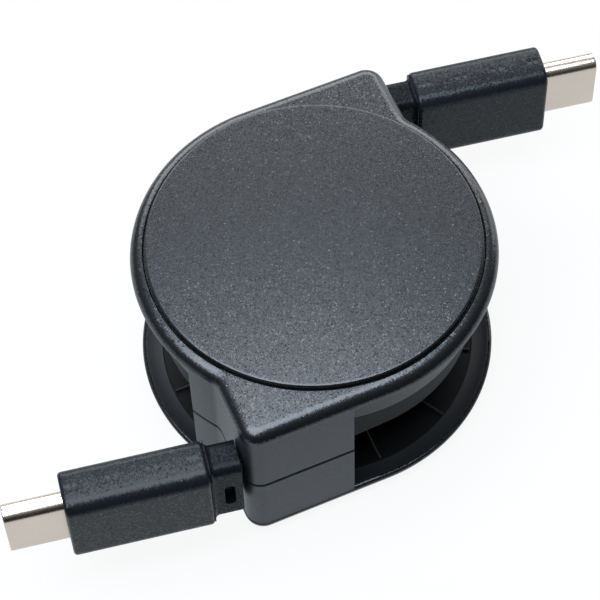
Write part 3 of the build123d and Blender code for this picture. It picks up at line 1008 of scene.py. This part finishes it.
necks = both_plugs("strain_relief", neck_skin(), NECK, "relief_rubber")

# %% Bend windows
WINDOW_HALF = (0.6, 2.0, 0.55)
WINDOW_DEPTH = 1.1
WINDOW_INSET = 2.05
WINDOW_RISE = 0.4


def window_cutter(side):
    """Prism with rounded corners that stands in one broad face of neck A."""
    section = rounded_box(*WINDOW_HALF)
    face = NECK_OFFSET + side * NECK_HALF[0]
    plan = section + np.array([GRIP_REAR + WINDOW_INSET, CABLE_HEIGHT + side * WINDOW_RISE])
    rings = [np.column_stack([plan[:, 0], np.full(len(plan), face + reach), plan[:, 1]])
             for reach in (-WINDOW_DEPTH, WINDOW_DEPTH)]
    return ring_skin(rings)


def cut_windows(neck, change):
    """Cuts both windows with a Boolean modifier, keeps the evaluated mesh and removes the cutter."""
    skins = [moved(window_cutter(side), change) for side in (-1, 1)]
    cutter = mesh_piece("window_cutter", skins, [NECK, NECK])
    hole = neck.modifiers.new("windows", "BOOLEAN")
    hole.operation, hole.solver, hole.object = "DIFFERENCE", "EXACT", cutter
    shaped = bpy.data.meshes.new_from_object(neck.evaluated_get(bpy.context.evaluated_depsgraph_get()))
    neck.modifiers.clear()
    neck.data = shaped
    shaped.set_sharp_from_angle(angle=SHARP_TURN)
    bpy.data.objects.remove(cutter)
    print(neck.name, len(shaped.polygons), "faces with windows")


for neck, (_, change) in zip(necks, SIDES):
    cut_windows(neck, change)

# %% [markdown]
# ## Connector shells
# Each connector is an oval tube drawn from sheet and plated. Its rim is rounded over, and the flat side,
# the round top and the rim each catch the light in their own way, so the oval has many points.

# %% Connector shell
SHELL_WALL = 0.3
LIP_ROWS = 13


def shell_skin():
    """Oval tube of plug A: outside to the lip, a half round over it, and back inside."""
    tip, seat = shell_low[0], shell_high[0]

    def oval(inset, x):
        """Oval ring drawn in by an inset."""
        half = SHELL_HALF - inset
        return across_x(rounded_box(*half, half[0] * SHELL_EDGE_SHARE), x, GRIP_OFFSET)

    lip = SHELL_WALL / 2
    rows = [oval(0, seat), oval(0, GRIP_FRONT), oval(0, tip + 2 * lip)]
    for angle in np.linspace(0, math.pi, LIP_ROWS):
        rows.append(oval(lip * (1 - math.cos(angle)), tip + lip * (1 - math.sin(angle))))
    rows += [oval(SHELL_WALL, tip + 2 * lip), oval(SHELL_WALL, seat)]
    return ring_skin(rows, wrap=True)


both_plugs("connector_shell", shell_skin(), NICKEL, "shell_nickel")

# %% [markdown]
# ## The wound cable
# The cable is a flat strip that stands on edge all the way, so its section is a rounded rectangle
# carried along a level line. On the reel that line is a spiral. The outermost half turn of each end
# lies against the coil, leaves it in a straight line and runs into the plug's neck.

# %% Cable strips
CABLE_EDGE = 0.3
coil_low, coil_high = span("cable_coil")
CABLE_HALF_WIDTH = (coil_high - coil_low)[2] / 2
COIL_INNER = 8.15
TURN_POINTS = 96
COIL_SHARE = 0.96


def strip_skin(line, thick):
    """Strip on edge along a level line: at each station the section lies across the line's direction,
    found from the neighbours of the station."""
    along = np.gradient(line, axis=0)
    along /= np.linalg.norm(along, axis=1, keepdims=True)
    across = np.column_stack([-along[:, 1], along[:, 0]])
    section = rounded_box(thick / 2, CABLE_HALF_WIDTH, CABLE_EDGE)
    plan = line[:, None] + across[:, None] * section[None, :, :1]
    height = np.broadcast_to(section[None, :, 1:] + CABLE_HEIGHT, (*plan.shape[:2], 1))
    return ring_skin(np.concatenate([plan, height], axis=-1))


def coil_line():
    """Spiral whose radius grows by one thickness each turn. The strip drawn along it is a little thinner,
    so that the turns show apart."""
    first, last = COIL_INNER + CABLE_THICK / 2, COIL_RADIUS - CABLE_THICK / 2
    turns = (last - first) / CABLE_THICK
    angle = np.linspace(0, turns * 2 * np.pi, int(turns * TURN_POINTS))
    radius = first + CABLE_THICK * angle / (2 * np.pi)
    return np.stack([radius * np.cos(angle), -radius * np.sin(angle)], axis=-1)


coil = mesh_piece("wound_cable", [strip_skin(coil_line(), CABLE_THICK * COIL_SHARE)], [JACKET])
settle(coil, "reel", "cable_jacket", "cable_coil")

# %% Cable runs
RUN_CLEARANCE = 0.1
RUN_RADIUS = COIL_RADIUS + RUN_CLEARANCE + CABLE_THICK / 2
RUN_BEND = 12.0
RUN_END = NECK_END - 3.2
RUN_GAP = 1.2
COIL_STEPS, OFF_STEPS, BEND_STEPS, ALONG_STEPS = 120, 24, 14, 40


def run_line():
    """Line of cable A: round the coil, straight off it, a gentle bend and straight along X. The straight
    part touches both circles, so its direction follows from their radii and the distance between them."""
    bend_x = NECK_END + CABLE_THICK
    centre = np.array([bend_x, RUN_BEND + CABLE_OFFSET])
    lean = math.acos((RUN_RADIUS - RUN_BEND) / np.linalg.norm(centre))
    leave = math.atan2(centre[1], centre[0]) + lean
    wrap = math.pi - math.acos(RUN_RADIUS / (RUN_RADIUS + RUN_GAP))
    outward = np.array([math.cos(leave), math.sin(leave)])
    return np.concatenate([
        arc((0, 0), RUN_RADIUS, leave + wrap, leave, COIL_STEPS),
        run(outward * RUN_RADIUS, centre + outward * RUN_BEND, OFF_STEPS),
        arc(centre, RUN_BEND, leave, -math.pi / 2, BEND_STEPS),
        run((bend_x, CABLE_OFFSET), (RUN_END, CABLE_OFFSET), ALONG_STEPS, closed=True)])


PAY_OUT_START, PAY_OUT_END = NECK_END - 0.05, NECK_END - 2.8
for side, change in SIDES:
    cable = mesh_piece(f"cable_{side}", [moved(strip_skin(run_line(), CABLE_THICK), change)], [JACKET])
    places = [np.array([x, CABLE_OFFSET, CABLE_HEIGHT]) for x in (PAY_OUT_START, PAY_OUT_END)]
    start, end = (change(place) * MM for place in places)
    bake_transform(cable)
    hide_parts(f"cable_run_{side}")
    print(cable.name, len(cable.data.polygons), "faces between case and plug", side)

# %% [markdown]
# ## Stage
# The object stands on a round pale table that reaches further behind it than in front. The camera sees
# the table and the surroundings white, through the light path, and reflections see the table pale too.
# Beyond the table's front edge the surroundings are dark to them, which draws the dark band under every
# rounded edge.

# %% Table and surroundings
TABLE_RADIUS = 260.0
TABLE_BEHIND = 200.0
TABLE_POINTS = 128
TABLE_HEIGHTS = (-2.0, -0.02)
SHADOW_SHARE = 0.1
SHADOW_REACH = (38.0, 58.0)
WHITE = (1.0, 1.0, 1.0, 1.0)
MATT_GREY = (0.5, 0.5, 0.5, 1.0)
REFLECTED_TINT = (0.86, 0.94, 1.0, 1.0)


def table_finish():
    """Pale matt table that shows white to the camera and, in the lamps' cool tint, to reflections. Near the
    object a share of its own shade is mixed in, so that a soft shadow stays, and the share fades to
    nothing further out."""
    material = bpy.data.materials.new("pale_table")
    material.use_nodes = True
    tree = material.node_tree
    tree.nodes.clear()
    matt = add(tree, "ShaderNodeBsdfDiffuse", {"Color": MATT_GREY})
    path = add(tree, "ShaderNodeLightPath")
    tint = blended(tree, path.outputs["Is Camera Ray"], REFLECTED_TINT, WHITE)
    white = add(tree, "ShaderNodeEmission", {"Color": tint, "Strength": 1.0})
    reach = add(tree, "ShaderNodeVectorMath", {0: millimetres(tree)}, operation="LENGTH")
    fade = add(tree, "ShaderNodeMapRange", {
        "Value": reach.outputs["Value"], "From Min": SHADOW_REACH[0], "From Max": SHADOW_REACH[1],
        "To Min": 1 - SHADOW_SHARE, "To Max": 1.0})
    mirrored = maths(tree, "ADD", path.outputs["Is Glossy Ray"], path.outputs["Is Transmission Ray"])
    seen = maths(tree, "MINIMUM", maths(tree, "ADD", path.outputs["Is Camera Ray"], mirrored), 1.0)
    share = maths(tree, "MULTIPLY", seen, fade.outputs[0])
    mixed = add(tree, "ShaderNodeMixShader", {0: share, 1: matt.outputs[0], 2: white.outputs[0]})
    add(tree, "ShaderNodeOutputMaterial", {"Surface": mixed.outputs[0]})
    return material


table_ring = arc((0, TABLE_BEHIND), TABLE_RADIUS, 0, 2 * math.pi, TABLE_POINTS)
table_rings = [np.column_stack([table_ring, np.full(TABLE_POINTS, z)]) for z in TABLE_HEIGHTS]
table = mesh_piece("table", [ring_skin(table_rings)], [table_finish()])
print("table", TABLE_RADIUS, "mm")

# %% Sky
SKY_HORIZON = 0.01
SKY_BEHIND = 0.12
SKY_ZENITH = 0.2
world = bpy.data.worlds.new("studio")
bpy.context.scene.world = world
world.use_nodes = True
sky = world.node_tree
sky.nodes.clear()
direction = add(sky, "ShaderNodeTexCoord")
axes = add(sky, "ShaderNodeSeparateXYZ", {0: direction.outputs["Generated"]})
rise = add(sky, "ShaderNodeMapRange", {"Value": axes.outputs["Z"], "To Min": 0.0, "To Max": 1.0})
behind = add(sky, "ShaderNodeMapRange", {
    "Value": axes.outputs["Y"], "To Min": SKY_HORIZON, "To Max": SKY_BEHIND})
zenith = maths(sky, "MULTIPLY", maths(sky, "POWER", rise.outputs[0], 2.0), SKY_ZENITH)
glow = maths(sky, "ADD", zenith, behind.outputs[0])
light_path = add(sky, "ShaderNodeLightPath")
level = add(sky, "ShaderNodeMix", {"Factor": light_path.outputs["Is Camera Ray"], 2: glow, 3: 1.0})
background = add(sky, "ShaderNodeBackground", {"Color": WHITE, "Strength": level.outputs[0]})
add(sky, "ShaderNodeOutputWorld", {"Surface": background.outputs[0]})
print("sky from dark horizon to pale zenith")

# %% Lamps
LAMP_AIM = Vector((0, 0, 10))


def softbox(name, place, size, power, tint):
    """Area lamp at a place, in millimetres, facing the case; size is its width and height."""
    data = bpy.data.lights.new(name, "AREA")
    data.shape, data.size, data.size_y, data.energy = "RECTANGLE", size[0] * MM, size[1] * MM, power
    data.color = tint
    lamp = bpy.data.objects.new(name, data)
    bpy.context.scene.collection.objects.link(lamp)
    lamp.location = Vector(place) * MM
    lamp.rotation_mode = "QUATERNION"
    lamp.rotation_quaternion = (LAMP_AIM - Vector(place)).to_track_quat("-Z", "Y")


softbox("top_softbox", place=(-38, -18, 200), size=(170, 230), power=1.15, tint=(0.76, 0.87, 1.0))
softbox("back_softbox", place=(50, 300, 195), size=(430, 200), power=1.5, tint=(0.92, 0.95, 1.0))
softbox("right_softbox", place=(300, 190, 70), size=(200, 150), power=0.22, tint=(0.95, 0.97, 1.0))
print("lamps: 3")

# %% [markdown]
# ## Camera
# The camera repeats the photograph's viewpoint: nearly from the front, well above, with a long lens and a
# slight roll.

# %% Camera
AZIMUTH, ELEVATION, ROLL = math.radians(-11.656), math.radians(57.507), math.radians(-2.444)
DISTANCE = 279.02
SENSOR, FOCAL_LENGTH = 36.0, 142.65
CLIP = (0.01, 10.0)
AIM = np.array([-1.5, 1.766, 7.93])
LEVEL = math.cos(ELEVATION)
back = np.array([math.sin(AZIMUTH) * LEVEL, -math.cos(AZIMUTH) * LEVEL, math.sin(ELEVATION)])
level_right = np.array([math.cos(AZIMUTH), math.sin(AZIMUTH), 0])
level_up = np.cross(back, level_right)
right = math.cos(ROLL) * level_right + math.sin(ROLL) * level_up
up = math.cos(ROLL) * level_up - math.sin(ROLL) * level_right
lens = bpy.data.cameras.new("camera")
lens.sensor_width, lens.lens = SENSOR, FOCAL_LENGTH
lens.clip_start, lens.clip_end = CLIP
camera = bpy.data.objects.new("camera", lens)
bpy.context.scene.collection.objects.link(camera)
pose = np.eye(4)
pose[:3, :3] = np.column_stack([right, up, back])
pose[:3, 3] = (AIM + back * DISTANCE) * MM
camera.matrix_world = Matrix(pose.tolist())
bpy.context.scene.camera = camera
bpy.context.scene.view_settings.view_transform = "Standard"
print("camera at", np.round(pose[:3, 3], 3))
